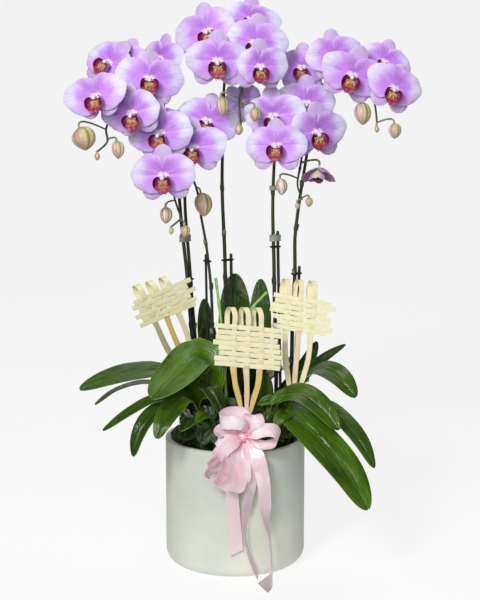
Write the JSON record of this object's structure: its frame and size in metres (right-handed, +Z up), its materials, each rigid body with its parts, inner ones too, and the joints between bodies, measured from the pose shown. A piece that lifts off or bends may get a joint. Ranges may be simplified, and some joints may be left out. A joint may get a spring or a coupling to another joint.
{
  "type": "potted moth orchid",
  "caption": "Moth orchid arrangement in a round ceramic pot, with arching lilac flower stems, broad leaves, woven bamboo ornaments and a pink ribbon bow.",
  "frame": {"origin": "centre of the pot's flat base, on the surface it stands on", "axes": "+Z up, the flowers and the bow face -Y, +X to the viewer's right"},
  "size_m": [0.4838, 0.3243, 0.8305],
  "materials": {
    "ceramic": "matt pale grey-green glaze",
    "bark": "coarse bark chips",
    "leaf": "smooth, waxy dark green",
    "stem": "smooth, dark green to near black",
    "stake": "dark coated wire",
    "shoot": "smooth, pale green",
    "tie": "black coated wire",
    "clip": "pale translucent plastic",
    "bamboo": "split bamboo, dry and pale",
    "satin": "pale pink satin ribbon",
    "petal": "soft lilac petals with a crimson lip"
  },
  "bodies": {
    "root": {"bloom_centre_1": "petal", "bloom_centre_2": "petal", "bloom_centre_3": "petal", "bloom_centre_4": "petal", "bloom_centre_5": "petal", "bloom_left_1": "petal", "bloom_left_2": "petal", "bloom_left_3": "petal", "bloom_left_4": "petal", "bloom_left_5": "petal", "bloom_left_6": "petal", "bloom_left_7": "petal", "bloom_middle_1": "petal", "bloom_middle_2": "petal", "bloom_middle_3": "petal", "bloom_middle_4": "petal", "bloom_right_1": "petal", "bloom_right_2": "petal", "bloom_right_3": "petal", "bloom_right_4": "petal", "bloom_right_5": "petal", "bloom_top_1": "petal", "bloom_top_2": "petal", "bloom_top_3": "petal", "bloom_top_4": "petal", "bloom_top_5": "petal", "bloom_top_6": "petal", "clip_centre": "clip", "clip_left": "clip", "clip_small": "clip", "ornament_centre": "bamboo", "ornament_left": "bamboo", "ornament_right": "bamboo", "plant_back": "leaf", "plant_left": "leaf", "plant_right": "leaf", "pot": "ceramic", "potting_medium": "bark", "ribbon": "satin", "shoot_left": "shoot", "shoot_right": "shoot", "spike_centre": "stem", "spike_left": "stem", "spike_middle": "stem", "spike_right": "stem", "spike_slender": "stem", "spike_top": "stem", "stake_centre": "stake", "stake_right": "stake", "stake_slender": "stake", "stake_top": "stake", "tie_centre": "tie", "tie_left": "tie", "tie_right": "tie", "tie_slender": "tie", "tie_top": "tie"}
  },
  "joints": []
}
